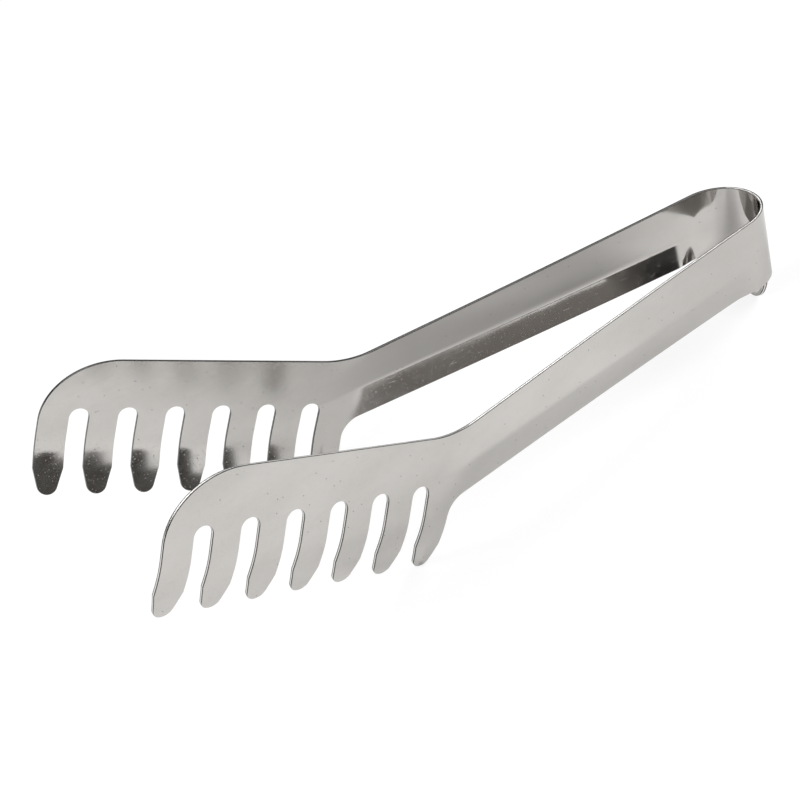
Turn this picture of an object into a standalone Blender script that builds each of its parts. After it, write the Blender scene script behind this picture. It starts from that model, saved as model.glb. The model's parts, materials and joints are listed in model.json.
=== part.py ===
"""Spaghetti tongs, stamped and bent from one strip of stainless sheet.

The strip is drawn flat as two blanks, the crown of the bow and one arm, then formed: it wraps round
the bow, the lower band of each arm folds inward along a ridge, and the claws curl towards each other.
Flat coordinates are (run, rise): run is the length along the strip from the middle of the crown, and
rise is the height above the strip's straight top edge. Formed coordinates have the crown at x = 0,
the arms along +X, the left arm at +Y and the strip's top edge at z = 0.
"""

import math

import bpy
import bmesh
from mathutils import Vector
from mathutils.geometry import delaunay_2d_cdt

MM = 0.001

# Sheet and bow
SHEET = 1.0 * MM
BOW_RADIUS = 12.0 * MM
BOW_WIDTH = 21.3 * MM
CROWN_HALF_ANGLE = math.radians(45.0)
SLIT = 0.3 * MM

# Foot, a round-ended tongue below the crown
FOOT_WIDTH = 11.6 * MM
FOOT_LENGTH = 11.6 * MM
FOOT_LEAN = math.radians(17.0)
FOOT_BEND_RADIUS = 6.0 * MM
FOOT_FILLET = 1.5 * MM

# Arm, from the crown's middle to the corner where the head turns up
ARM_LENGTH = 125.4 * MM
ARM_ROOT_WIDTH = 20.7 * MM
ARM_END_WIDTH = 16.5 * MM
CROWN_FLARE = 30.0 * MM
BOW_EXIT_ANGLE = math.radians(5.6)
ARM_ANGLE = math.radians(7.2)
ARM_EASE = 81.0 * MM

# Ridge along the arm, and the band below it that leans inward
RIDGE_ROOT_DEPTH = 12.1 * MM
RIDGE_END_DEPTH = 8.6 * MM
RIDGE_HEIGHT = 0.45 * MM
BAND_ANGLE = math.radians(8.2)
BAND_REACH = 11.0 * MM
RIDGE_ROUND = 1.0 * MM
RIDGE_START = 19.5 * MM
RIDGE_FULL = 25.5 * MM
RIDGE_LEAD = 7.0 * MM
RIDGE_FADE = 10.0 * MM

# Head
HEAD_TURN = math.radians(28.0)
HEAD_LENGTH = 80.9 * MM
NECK_RADIUS = 28.0 * MM
NOSE_LENGTH = 19.6 * MM
NOSE_DEPTH = 16.3 * MM

# Teeth and slots
TEETH = 7
PITCH = 12.5 * MM
SLOT_WIDTH = 5.1 * MM
REAR_SLOT = 8.2 * MM
REAR_SLOT_TOP = 11.9 * MM
FRONT_SLOT_TOP = 12.9 * MM
REAR_EDGE = 2.1 * MM
REAR_FILLET = 7.0 * MM
TOOTH_LENGTH = 35.4 * MM
TOOTH_TAPER = 28.7 * MM
TIP_RADIUS = 2.6 * MM
CURL_START = 20.1 * MM
CURL_RADIUS = 33.4 * MM

# Facets
BEND_STEP = math.radians(7.5)
FOLD_STEP = 2.0 * MM
ROW_STEP = 2.2 * MM
COLUMN_STEP = 1.6 * MM
ROUND_STEPS = 10
OVERRUN = 1.0 * MM
SMALLEST = 0.01 * MM
SHARP_ANGLE = math.radians(30.0)

ARC_LENGTH = BOW_RADIUS * (math.pi / 2 - BOW_EXIT_ANGLE)
CROWN_END = BOW_RADIUS * CROWN_HALF_ANGLE


def smooth(share):
    """Easing from 0 to 1, level at both ends."""
    share = min(max(share, 0.0), 1.0)
    return share * share * (3 - 2 * share)


def spread(start, end, step):
    """Values from start to end, no further apart than step."""
    count = max(1, math.ceil(abs(end - start) / step - 1e-6))
    return [start + (end - start) * index / count for index in range(count + 1)]


def arc(centre, radius, start, end, steps=ROUND_STEPS):
    """Points of an arc in the plane."""
    angles = spread(start, end, abs(end - start) / steps)
    return [(centre[0] + radius * math.cos(a), centre[1] + radius * math.sin(a)) for a in angles]


def fillet(before, corner, after, radius):
    """Points of the arc that rounds a corner between two straight edges."""
    corner = Vector(corner)
    back = (Vector(before) - corner).normalized()
    ahead = (Vector(after) - corner).normalized()
    half = back.angle(ahead) / 2
    centre = corner + (back + ahead).normalized() * (radius / math.sin(half))
    first = corner + back * (radius / math.tan(half)) - centre
    last = corner + ahead * (radius / math.tan(half)) - centre
    start = math.atan2(first.y, first.x)
    turn = (math.atan2(last.y, last.x) - start + math.pi) % (2 * math.pi) - math.pi
    return arc(centre, radius, start, start + turn)


def strip_width(run):
    """Width of the strip at a length from the crown's middle: straight, with a flare at the crown."""
    straight = ARM_ROOT_WIDTH + (ARM_END_WIDTH - ARM_ROOT_WIDTH) * run / ARM_LENGTH
    return straight + (BOW_WIDTH - ARM_ROOT_WIDTH) * (1 - smooth(run / CROWN_FLARE))


def head_to_strip(along, below):
    """Flat point at a distance along the head from its corner, and below the head's top edge."""
    run = ARM_LENGTH + along * math.cos(HEAD_TURN) + below * math.sin(HEAD_TURN)
    return run, along * math.sin(HEAD_TURN) - below * math.cos(HEAD_TURN)


def strip_to_head(run, rise):
    """The reverse of head_to_strip."""
    run -= ARM_LENGTH
    along = run * math.cos(HEAD_TURN) + rise * math.sin(HEAD_TURN)
    return along, run * math.sin(HEAD_TURN) - rise * math.cos(HEAD_TURN)


def slot_place(number):
    """Centre line and top of a slot, counted from the rear."""
    share = number / (TEETH - 2)
    return REAR_SLOT + number * PITCH, REAR_SLOT_TOP + (FRONT_SLOT_TOP - REAR_SLOT_TOP) * share


def tooth_end(front, rear):
    """Points round a tooth's tip in head coordinates: straight tapers into a round end."""
    middle = (front + rear) / 2
    half = (front - rear) / 2
    centre = TOOTH_LENGTH - TIP_RADIUS
    drop = centre - TOOTH_TAPER
    start = math.atan2(-drop, half) + math.acos(TIP_RADIUS / math.hypot(half, drop))
    tip = arc((middle, centre), TIP_RADIUS, start, math.pi - start)
    return [(front, TOOTH_TAPER)] + tip + [(rear, TOOTH_TAPER)]


def slot_top(number):
    """Points round the closed end of a slot in head coordinates, front to rear."""
    middle, top = slot_place(number)
    half = SLOT_WIDTH / 2
    return arc((middle, top + half), half, 0.0, -math.pi)


def comb_edge():
    """The head's edge in head coordinates, from the nose round every tooth to the last rear taper."""
    nose = [
        (HEAD_LENGTH - NOSE_LENGTH * (1 - math.sin(angle)), NOSE_DEPTH * (1 - math.cos(angle)))
        for angle in spread(0.0, math.pi / 2, BEND_STEP)
    ]
    points = nose
    front = HEAD_LENGTH
    for number in reversed(range(TEETH - 1)):
        middle = slot_place(number)[0]
        points += tooth_end(front, middle + SLOT_WIDTH / 2) + slot_top(number)
        front = middle - SLOT_WIDTH / 2
    return points + tooth_end(front, -REAR_EDGE)


def rear_corner():
    """Flat point where the last tooth's rear edge would meet the arm's lower edge."""
    slope = (ARM_END_WIDTH - ARM_ROOT_WIDTH) / ARM_LENGTH
    run, rise = head_to_strip(-REAR_EDGE, 0.0)
    gap = rise + strip_width(run)
    below = gap / (math.cos(HEAD_TURN) - slope * math.sin(HEAD_TURN))
    return head_to_strip(-REAR_EDGE, below)


def arm_stations():
    """Lengths along the strip where the arm is divided: fine round the bow, coarse after it."""
    bow = spread(CROWN_END + SLIT / 2, ARC_LENGTH, BOW_RADIUS * BEND_STEP)
    return bow + spread(ARC_LENGTH, ARM_LENGTH, FOLD_STEP)[1:]


def arm_outline():
    """Flat outline of one arm with its head and teeth."""
    comb = [head_to_strip(*point) for point in comb_edge()]
    neck = fillet((0.0, 0.0), (ARM_LENGTH, 0.0), comb[0], NECK_RADIUS)
    stations = arm_stations()
    corner = rear_corner()
    root = (stations[0], -strip_width(stations[0]))
    crotch = fillet(comb[-1], corner, (CROWN_FLARE, -strip_width(CROWN_FLARE)), REAR_FILLET)
    lower = [(run, -strip_width(run)) for run in reversed(stations) if run < crotch[-1][0] - FOLD_STEP / 2]
    return [(stations[0], 0.0)] + neck + comb + crotch + lower[:-1] + [root]


def ridge_depth(run):
    """Depth of the ridge below the top edge."""
    share = min(max((run - RIDGE_FULL) / (ARM_LENGTH - RIDGE_FULL), 0.0), 1.0)
    return RIDGE_ROOT_DEPTH + (RIDGE_END_DEPTH - RIDGE_ROOT_DEPTH) * share


def arm_folds():
    """Flat lines where the arm's surface bends: across the bow, along the ridge, across the claws."""
    lines = []
    stations = arm_stations()
    for run in stations[1:]:
        lines.append([(run, OVERRUN), (run, -strip_width(run) - OVERRUN)])
    for shift in (-RIDGE_ROUND, 0.0, RIDGE_ROUND):
        end_depth = RIDGE_END_DEPTH + shift
        ridge = [(run, -ridge_depth(run) - shift) for run in stations if run >= RIDGE_START]
        corner = arc((ARM_LENGTH, 0.0), end_depth, -math.pi / 2, HEAD_TURN - math.pi / 2)
        lines.append(ridge + corner[1:] + [head_to_strip(RIDGE_FADE - RIDGE_LEAD, end_depth)])
    rows = [RIDGE_END_DEPTH + BAND_REACH] + spread(CURL_START, TOOTH_LENGTH, ROW_STEP)
    for below in rows:
        lines.append([head_to_strip(-REAR_EDGE - OVERRUN, below), head_to_strip(HEAD_LENGTH + OVERRUN, below)])
    for along in spread(-RIDGE_LEAD, RIDGE_FADE - RIDGE_LEAD, COLUMN_STEP):
        top = min(along * math.tan(HEAD_TURN), 0.0) - OVERRUN
        lines.append([head_to_strip(along, top), head_to_strip(along, TOOTH_LENGTH)])
    return lines


def crown_outline():
    """Flat outline of the crown with its foot."""
    end = CROWN_END - SLIT / 2
    half = FOOT_WIDTH / 2
    base = -BOW_WIDTH
    hip = fillet((end, base), (half, base), (half, base - FOOT_LENGTH), FOOT_FILLET)
    toe = arc((0.0, base - FOOT_LENGTH + half), half, 0.0, -math.pi / 2)
    right = [(end, 0.0), (end, -strip_width(end))] + hip + toe
    return right + [(-run, rise) for run, rise in reversed(right[:-1])]


def crown_folds():
    """Flat lines across the crown, and across the foot where it bends."""
    end = CROWN_END - SLIT / 2
    toe = -BOW_WIDTH - FOOT_LENGTH - OVERRUN
    lines = [[(run, OVERRUN), (run, toe)] for run in spread(-end, end, BOW_RADIUS * BEND_STEP)[1:-1]]
    for below in spread(0.0, FOOT_BEND_RADIUS * FOOT_LEAN, COLUMN_STEP / 2):
        rise = -BOW_WIDTH - below
        lines.append([(-FOOT_WIDTH, rise), (FOOT_WIDTH, rise)])
    return lines


def band_inward(run, rise):
    """How far the ridge and the band below it move a point towards the other arm."""
    along, below = strip_to_head(run, rise)
    if run <= ARM_LENGTH:
        depth = -rise
    elif along <= 0.0:
        depth = math.hypot(run - ARM_LENGTH, rise)
    else:
        depth = below
    ridge = ridge_depth(run)
    past = min(depth - ridge, BAND_REACH)
    if abs(past) < RIDGE_ROUND:
        past = (past + RIDGE_ROUND) ** 2 / (4 * RIDGE_ROUND)
    slope = RIDGE_HEIGHT / ridge
    inward = (slope + math.tan(BAND_ANGLE)) * max(past, 0.0) - slope * max(min(depth, ridge + BAND_REACH), 0.0)
    grown = smooth((run - RIDGE_START) / (RIDGE_FULL - RIDGE_START))
    faded = smooth((along + RIDGE_LEAD) / RIDGE_FADE)
    return grown * (1 - faded) * inward


def plan_place(run, inward):
    """Place in plan of a point on the strip: round the bow, through the ease, then straight."""
    bow_turn = min(run, ARC_LENGTH) / BOW_RADIUS
    x = BOW_RADIUS * (1 - math.cos(bow_turn))
    y = BOW_RADIUS * math.sin(bow_turn)
    heading = math.pi / 2 - bow_turn
    eased = min(max(run - ARC_LENGTH, 0.0), ARM_EASE)
    if eased > 0.0:
        turn = (ARM_ANGLE - BOW_EXIT_ANGLE) * eased / ARM_EASE
        chord = BOW_EXIT_ANGLE + turn / 2
        x += eased * math.cos(chord)
        y += eased * math.sin(chord)
        heading = BOW_EXIT_ANGLE + turn
    straight = max(run - ARC_LENGTH - ARM_EASE, 0.0)
    x += straight * math.cos(heading) + inward * math.sin(heading)
    y += straight * math.sin(heading) - inward * math.cos(heading)
    return x, y


def form_arm(run, rise):
    """Formed place of a flat point of the left arm."""
    inward = band_inward(run, rise)
    along, below = strip_to_head(run, rise)
    curl = max(below - CURL_START, 0.0) / CURL_RADIUS
    if curl > 0.0:
        inward += CURL_RADIUS * (1 - math.cos(curl))
        run, rise = head_to_strip(along, CURL_START + CURL_RADIUS * math.sin(curl))
    x, y = plan_place(run, inward)
    return Vector((x, y, rise))


def form_crown(run, rise):
    """Formed place of a flat point of the crown: the foot bends inward below the strip."""
    hang = max(-rise - BOW_WIDTH, 0.0)
    bend = min(hang / FOOT_BEND_RADIUS, FOOT_LEAN)
    rest = hang - bend * FOOT_BEND_RADIUS
    inward = FOOT_BEND_RADIUS * (1 - math.cos(bend)) + rest * math.sin(bend)
    if hang > 0.0:
        rise = -BOW_WIDTH - FOOT_BEND_RADIUS * math.sin(bend) - rest * math.cos(bend)
    x, y = plan_place(abs(run), inward)
    return Vector((x, math.copysign(y, run), rise))


def sheet_mesh(name, outline, folds, form, origin, side=1):
    """Mesh of a blank divided along its folds and formed, measured from origin."""
    points = [Vector(point) for point in outline]
    edges = []
    for line in folds:
        first = len(points)
        points += [Vector(point) for point in line]
        edges += [(first + index, first + index + 1) for index in range(len(line) - 1)]
    face = list(reversed(range(len(outline))))
    flat, _, faces, _, _, sources = delaunay_2d_cdt(points, edges, [face], 0, SMALLEST)
    kept = [corners for corners, source in zip(faces, sources) if source]
    bm = bmesh.new()
    corners_used = sorted({index for corners in kept for index in corners})
    verts = {}
    for index in corners_used:
        place = form(*flat[index])
        verts[index] = bm.verts.new((place.x - origin.x, side * place.y - origin.y, place.z - origin.z))
    for corners in kept:
        bm.faces.new([verts[index] for index in (corners if side > 0 else reversed(corners))])
    bmesh.ops.recalc_face_normals(bm, faces=bm.faces)
    mesh = bpy.data.meshes.new(name)
    bm.to_mesh(mesh)
    bm.free()
    mesh.shade_smooth()
    mesh.set_sharp_from_angle(angle=SHARP_ANGLE)
    return mesh


def steel(name, roughness):
    """Polished stainless sheet."""
    material = bpy.data.materials.new(name)
    material.use_nodes = True
    shader = material.node_tree.nodes["Principled BSDF"]
    shader.inputs["Base Color"].default_value = (0.60, 0.58, 0.56, 1.0)
    shader.inputs["Metallic"].default_value = 1.0
    shader.inputs["Roughness"].default_value = roughness
    return material


def add_sheet_piece(name, mesh, origin, frame, roughness):
    """Object for a formed sheet, given its thickness and its steel."""
    piece = bpy.data.objects.new(name, mesh)
    bpy.context.scene.collection.objects.link(piece)
    piece.parent = frame
    piece.location = origin
    mesh.materials.append(steel(name + "_steel", roughness))
    wall = piece.modifiers.new("sheet", "SOLIDIFY")
    wall.thickness = SHEET
    wall.offset = 0.0
    wall.use_even_offset = True
    return piece


def world_points(pieces):
    """Corner points of each finished piece, in world space."""
    bpy.context.view_layer.update()
    graph = bpy.context.evaluated_depsgraph_get()
    found = []
    for piece in pieces:
        finished = piece.evaluated_get(graph)
        mesh = finished.to_mesh()
        found.append([finished.matrix_world @ vert.co for vert in mesh.vertices])
        finished.to_mesh_clear()
    return found


def stand_level(frame, crown, arm, pieces):
    """Turn the frame until the foot and the rear claws stand on one level, over the origin."""
    for _ in range(3):
        foot, claws = [min(points, key=lambda point: point.z) for points in world_points([crown, arm])]
        frame.rotation_euler.y += math.atan2(claws.z - foot.z, claws.x - foot.x)
    points = [point for group in world_points(pieces) for point in group]
    low = Vector([min(point[axis] for point in points) for axis in range(3)])
    high = Vector([max(point[axis] for point in points) for axis in range(3)])
    frame.location -= Vector(((low.x + high.x) / 2, (low.y + high.y) / 2, low.z))


def main():
    for leftover in list(bpy.data.objects):
        bpy.data.objects.remove(leftover, do_unlink=True)
    frame = bpy.data.objects.new("strip_frame", None)
    bpy.context.scene.collection.objects.link(frame)
    zero = Vector((0.0, 0.0, 0.0))
    crown_mesh = sheet_mesh("spring_bow", crown_outline(), crown_folds(), form_crown, zero)
    crown = add_sheet_piece("spring_bow", crown_mesh, zero, frame, 0.16)
    pieces = [crown]
    for name, side in (("left_arm", 1), ("right_arm", -1)):
        x, y = plan_place(CROWN_END, 0.0)
        flex_point = Vector((x, side * y, 0.0))
        mesh = sheet_mesh(name, arm_outline(), arm_folds(), form_arm, flex_point, side)
        pieces.append(add_sheet_piece(name, mesh, flex_point, frame, 0.18))
    stand_level(frame, crown, pieces[1], pieces)


main()
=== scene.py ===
"""Looks of a pair of spaghetti tongs, stamped and bent from one strip of stainless sheet.

The strip is drawn flat as two closed blanks, the bow with its foot and one arm with its comb head,
1 mm thick and with rolled edges. One Geometry Nodes tree forms them: it wraps the strip round the
bow, folds the lower band of each arm along its ridge and curls the claws. Flat coordinates are
(run, rise, lift): run is the length along the strip from the middle of the crown, rise the height
above its straight top edge, and lift the height above the middle of the sheet, outwards.
"""

import json
import logging
import math
from dataclasses import dataclass, fields
from enum import Enum
from types import SimpleNamespace
from typing import Any, Callable, Mapping, Sequence

import bmesh
import bpy
import numpy as np
from mathutils import Matrix, Vector
from mathutils.geometry import delaunay_2d_cdt


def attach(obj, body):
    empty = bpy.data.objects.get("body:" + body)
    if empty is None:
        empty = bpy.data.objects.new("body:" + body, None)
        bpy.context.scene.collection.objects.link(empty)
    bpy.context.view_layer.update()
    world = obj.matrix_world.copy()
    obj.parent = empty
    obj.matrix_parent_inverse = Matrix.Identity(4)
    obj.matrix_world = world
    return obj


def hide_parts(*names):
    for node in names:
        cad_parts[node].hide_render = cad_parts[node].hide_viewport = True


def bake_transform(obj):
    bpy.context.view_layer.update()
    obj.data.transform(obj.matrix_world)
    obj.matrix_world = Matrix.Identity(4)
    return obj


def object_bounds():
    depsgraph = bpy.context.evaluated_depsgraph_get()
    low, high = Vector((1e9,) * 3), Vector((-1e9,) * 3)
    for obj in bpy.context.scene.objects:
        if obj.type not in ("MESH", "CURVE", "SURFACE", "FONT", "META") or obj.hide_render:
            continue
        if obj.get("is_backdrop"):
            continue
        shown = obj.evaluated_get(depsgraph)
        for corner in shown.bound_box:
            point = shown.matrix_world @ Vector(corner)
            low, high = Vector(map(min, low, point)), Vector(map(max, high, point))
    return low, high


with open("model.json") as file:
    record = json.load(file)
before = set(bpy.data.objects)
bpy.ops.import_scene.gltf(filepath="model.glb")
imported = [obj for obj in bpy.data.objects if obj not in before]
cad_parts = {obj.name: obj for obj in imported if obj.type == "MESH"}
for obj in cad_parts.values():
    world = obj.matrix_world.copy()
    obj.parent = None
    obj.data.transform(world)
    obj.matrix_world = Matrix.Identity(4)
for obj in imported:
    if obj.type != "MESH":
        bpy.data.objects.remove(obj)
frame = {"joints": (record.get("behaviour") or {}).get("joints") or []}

LOG = logging.getLogger("tongs")
MM = 0.001
RUN_MAP = "strip"
ROLLED = "rolled"
CUT = "cut"
# The strip's map holds the inner face's runs FACE_SHIFT further on, and its noise lies FACE_GAP away.
FACE_SHIFT = 0.5
FACE_GAP = 7.0
LONGEST_RUN = 0.2

Point = tuple[float, float]
Span = tuple[float, float]
Colour = tuple[float, float, float, float]
Socket = bpy.types.NodeSocket


def placed(name: str, data: bpy.types.ID) -> bpy.types.Object:
    """A new object of the scene."""
    made = bpy.data.objects.new(name, data)
    bpy.context.scene.collection.objects.link(made)
    return made


class Side(Enum):
    """Which way along Y a formed piece lies."""

    LEFT = 1.0
    RIGHT = -1.0


def operator(operation: str, flipped: bool = False) -> Callable[["Number", "Term"], "Number"]:
    """A method that joins a number and another term in a Math node.

    Args:
        operation: the node's operation.
        flipped: whether the other term comes first.

    Returns:
        The method.
    """

    def method(self: "Number", other: "Term") -> "Number":
        """Result of the Math node."""
        terms = (other, self) if flipped else (self, other)
        return self.graph.maths(operation, *terms)

    return method


def function(operation: str) -> Callable[["Number"], "Number"]:
    """A method that puts a number alone through a Math node."""

    def method(self: "Number") -> "Number":
        """Result of the Math node."""
        return self.graph.maths(operation, self)

    return method


class Number:
    """A number carried by a node socket, with Python's operators as Math nodes.

    Comparisons give 1 where they hold and 0 elsewhere.
    """

    __add__ = operator("ADD")
    __radd__ = operator("ADD", flipped=True)
    __sub__ = operator("SUBTRACT")
    __rsub__ = operator("SUBTRACT", flipped=True)
    __mul__ = operator("MULTIPLY")
    __rmul__ = operator("MULTIPLY", flipped=True)
    __truediv__ = operator("DIVIDE")
    __rtruediv__ = operator("DIVIDE", flipped=True)
    __gt__ = operator("GREATER_THAN")
    __lt__ = operator("LESS_THAN")
    at_most = operator("MINIMUM")
    at_least = operator("MAXIMUM")
    cos = function("COSINE")
    sin = function("SINE")
    tan = function("TANGENT")
    root = function("SQRT")
    size = function("ABSOLUTE")

    def __init__(self, graph: "Graph", socket: Socket) -> None:
        """Wrap an output socket of a graph."""
        self.graph = graph
        self.socket = socket

    def __neg__(self) -> "Number":
        """Opposite."""
        return self * -1.0

    def held(self) -> "Number":
        """Held to 0 and 1."""
        return self.at_least(0.0).at_most(1.0)


Term = Number | float


class Graph:
    """A node tree that is built in code."""

    def __init__(self, tree: bpy.types.NodeTree) -> None:
        """Wrap a node tree, emptied first."""
        self.tree = tree
        self.tree.nodes.clear()

    def add(self, kind: str, sockets: Mapping[Any, Any] | None = None, **settings: Any) -> bpy.types.Node:
        """Make a node.

        Args:
            kind: the node's type.
            sockets: the values or links of its inputs, by name or by number.
            **settings: its properties, set first. A ramp's stops count as one.

        Returns:
            The node.
        """
        node = self.tree.nodes.new(kind)
        for name, value in settings.items():
            if name == "stops":
                self.set_stops(node.color_ramp, value)
            else:
                setattr(node, name, value)
        for name, value in (sockets or {}).items():
            if isinstance(value, Number):
                value = value.socket
            if isinstance(value, Socket):
                self.tree.links.new(value, node.inputs[name])
            else:
                node.inputs[name].default_value = value
        return node

    def first(self, kind: str, sockets: Mapping[Any, Any] | None = None, **settings: Any) -> Socket:
        """The first output of a new node."""
        return self.add(kind, sockets, **settings).outputs[0]

    @staticmethod
    def set_stops(ramp: bpy.types.ColorRamp, stops: Sequence[tuple[float, Colour]]) -> None:
        """Give a colour ramp its stops, from left to right."""
        while len(ramp.elements) < len(stops):
            ramp.elements.new(1.0)
        for element, (place, colour) in zip(ramp.elements, stops):
            element.position = place
            element.color = colour

    def number(self, node: bpy.types.Node, output: Any = 0) -> Number:
        """One output of a node as a number."""
        return Number(self, node.outputs[output])

    def maths(self, operation: str, *terms: Term) -> Number:
        """A Math node on up to three numbers."""
        return self.number(self.add("ShaderNodeMath", dict(enumerate(terms)), operation=operation))

    def vector(self, x: Term, y: Term, z: Term) -> Socket:
        """A vector from three numbers."""
        return self.first("ShaderNodeCombineXYZ", {0: x, 1: y, 2: z})

    def split(self, vector: Socket) -> list[Number]:
        """The three numbers of a vector or a colour."""
        node = self.add("ShaderNodeSeparateXYZ", {0: vector})
        return [self.number(node, index) for index in range(3)]

    def vectors(self, operation: str, *terms: Any) -> Socket:
        """A Vector Math node on vectors."""
        return self.first("ShaderNodeVectorMath", dict(enumerate(terms)), operation=operation)

    def between(self, value: Number, low: float, high: float) -> Number:
        """Share of the way that a value lies from low to high, held to 0 and 1."""
        return ((value - low) / (high - low)).held()

    def mixed(self, share: Term, first: Any, second: Any) -> Socket:
        """A colour between two colours: the first at share 0, the second at share 1."""
        sockets = {"Factor": share, 6: first, 7: second}
        return self.add("ShaderNodeMix", sockets, data_type="RGBA").outputs[2]


def grey(level: float) -> Colour:
    """A grey of one level."""
    return (level, level, level, 1.0)


@dataclass(frozen=True)
class SheetSizes:
    """Sizes that form the flat strip into the tongs. Each is also a named input of the tree."""

    bow_radius: float = 12.0 * MM
    bow_width: float = 21.3 * MM
    crown_end: float = 9.4 * MM
    foot_lean: float = math.radians(17.0)
    foot_bend_radius: float = 6.0 * MM
    arm_length: float = 125.4 * MM
    bow_exit_angle: float = math.radians(5.6)
    arm_angle: float = math.radians(7.2)
    arm_ease: float = 81.0 * MM
    ridge_root_depth: float = 12.1 * MM
    ridge_end_depth: float = 8.6 * MM
    ridge_height: float = 0.75 * MM
    lean_start: float = 6.0 * MM
    lean_full: float = 26.5 * MM
    ridge_round: float = 1.0 * MM
    ridge_start: float = 18.0 * MM
    ridge_full: float = 26.5 * MM
    ridge_lead: float = 7.0 * MM
    ridge_fade: float = 10.0 * MM
    band_angle: float = math.radians(8.2)
    band_reach: float = 11.0 * MM
    head_turn: float = math.radians(28.0)
    curl_start: float = 19.5 * MM
    curl_radius: float = 27.0 * MM
    curl_turn: float = math.radians(12.0)
    tip_curl_radius: float = 60.0 * MM


@dataclass(frozen=True)
class BlankSizes:
    """Sizes that only the flat blanks have."""

    sheet: float = 1.0 * MM
    edge_roll: float = 0.37 * MM
    edge_crown: float = 0.06 * MM
    edge_steps: int = 3
    seam: float = 7.4 * MM
    arm_root_width: float = 20.7 * MM
    arm_end_width: float = 16.5 * MM
    crown_flare: float = 30.0 * MM
    foot_width: float = 11.6 * MM
    foot_length: float = 11.6 * MM
    foot_fillet: float = 1.5 * MM
    head_length: float = 80.9 * MM
    neck_radius: float = 28.0 * MM
    nose_length: float = 19.6 * MM
    nose_depth: float = 16.3 * MM
    teeth: int = 7
    pitch: float = 12.5 * MM
    slot_width: float = 5.1 * MM
    rear_slot: float = 8.2 * MM
    rear_slot_top: float = 11.9 * MM
    front_slot_top: float = 12.9 * MM
    rear_edge: float = 2.1 * MM
    rear_fillet: float = 7.0 * MM
    tooth_length: float = 35.4 * MM
    tooth_taper: float = 28.7 * MM
    tip_radius: float = 2.6 * MM


@dataclass(frozen=True)
class Fineness:
    """How finely the blanks are divided."""

    bend: float = math.radians(3.0)
    fold: float = 2.0 * MM
    row: float = 0.7 * MM
    column: float = 0.6 * MM
    ridge_lines: int = 5
    arc_steps: int = 24
    overrun: float = 1.0 * MM
    smallest: float = 0.004 * MM


def spread(start: float, end: float, step: float) -> list[float]:
    """Values from start to end, no further apart than step."""
    count = max(1, math.ceil(abs(end - start) / step - 1e-6))
    return [start + (end - start) * index / count for index in range(count + 1)]


def cos(angle: Term) -> Term:
    """Cosine of a plain number or of a node tree's."""
    return angle.cos() if isinstance(angle, Number) else math.cos(angle)


def sin(angle: Term) -> Term:
    """Sine of a plain number or of a node tree's."""
    return angle.sin() if isinstance(angle, Number) else math.sin(angle)


def held(share: Term) -> Term:
    """A plain number or a node tree's, held to 0 and 1."""
    return share.held() if isinstance(share, Number) else min(max(share, 0.0), 1.0)


def smooth(share: Term) -> Term:
    """Easing from 0 to 1, level at both ends."""
    share = held(share)
    return share * share * (3.0 - 2.0 * share)


def head_to_strip(sheet: Any, along: Term, below: Term) -> tuple[Term, Term]:
    """Flat point at a distance along the head from its corner, and below the head's top edge."""
    turn = sheet.head_turn
    run = sheet.arm_length + along * cos(turn) + below * sin(turn)
    return run, along * sin(turn) - below * cos(turn)


def ridge_depth(sheet: Any, run: Term) -> Term:
    """Depth of an arm's ridge below its top edge."""
    share = held((run - sheet.ridge_full) / (sheet.arm_length - sheet.ridge_full))
    return sheet.ridge_root_depth + (sheet.ridge_end_depth - sheet.ridge_root_depth) * share


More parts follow.
